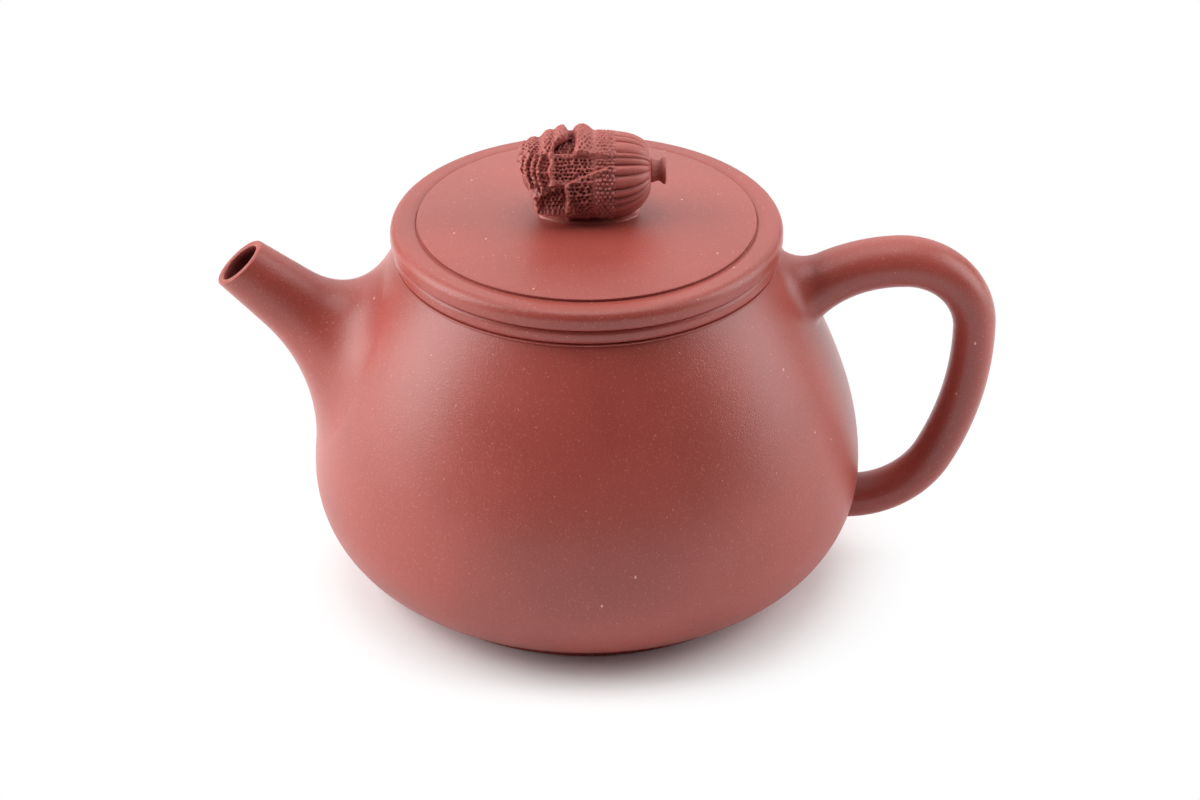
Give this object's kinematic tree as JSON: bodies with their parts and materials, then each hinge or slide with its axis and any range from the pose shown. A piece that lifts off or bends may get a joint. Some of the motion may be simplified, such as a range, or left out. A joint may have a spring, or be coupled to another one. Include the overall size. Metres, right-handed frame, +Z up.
{
  "type": "clay teapot",
  "caption": "Small unglazed clay teapot with a straight spout, a loop handle, a strainer inside and a lift-off lid whose knob is a cabbage lying on its side.",
  "frame": {"origin": "centre of the foot's resting plane, on the pot's own axis", "axes": "+X from the pot's axis towards the handle, with the spout along -X; +Y to the back of the picture; +Z up"},
  "size_m": [0.1296, 0.092, 0.0819],
  "materials": {
    "body_clay": "unglazed reddish brown clay, smooth, with a soft sheen and fine pale specks",
    "lid_clay": "the same clay, smoothed flat, with a soft sheen",
    "knob_clay": "the same clay, hand carved and pricked, matte",
    "inside_clay": "the same clay as scraped, matte",
    "slip_clay": "thin clay slip squeezed out under the knob, smoothed by hand"
  },
  "bodies": {
    "pot": {"belly_wall": "body_clay", "base_disc": "inside_clay", "foot_ring": "body_clay", "mouth_ring": "body_clay", "spout": "body_clay", "strainer": "inside_clay", "handle": "body_clay"},
    "lid": {"lid_plate": "lid_clay", "lid_cap": "lid_clay", "lid_flange": "inside_clay", "knob_pad": "slip_clay", "cabbage_heart": "knob_clay", "cabbage_root": "knob_clay", "cabbage_leaf_top": "knob_clay", "cabbage_leaf_front": "knob_clay", "cabbage_leaf_front_low": "knob_clay", "cabbage_leaf_back": "knob_clay", "cabbage_leaf_back_low": "knob_clay", "cabbage_leaf_crown": "knob_clay", "cabbage_leaf_side": "knob_clay", "cabbage_leaf_tip": "knob_clay"}
  },
  "joints": [
    {"name": "lid_lift", "type": "slide", "parent": "pot", "child": "lid", "axis": [0, 0, 1], "range_m": [0, 0.06]}
  ]
}
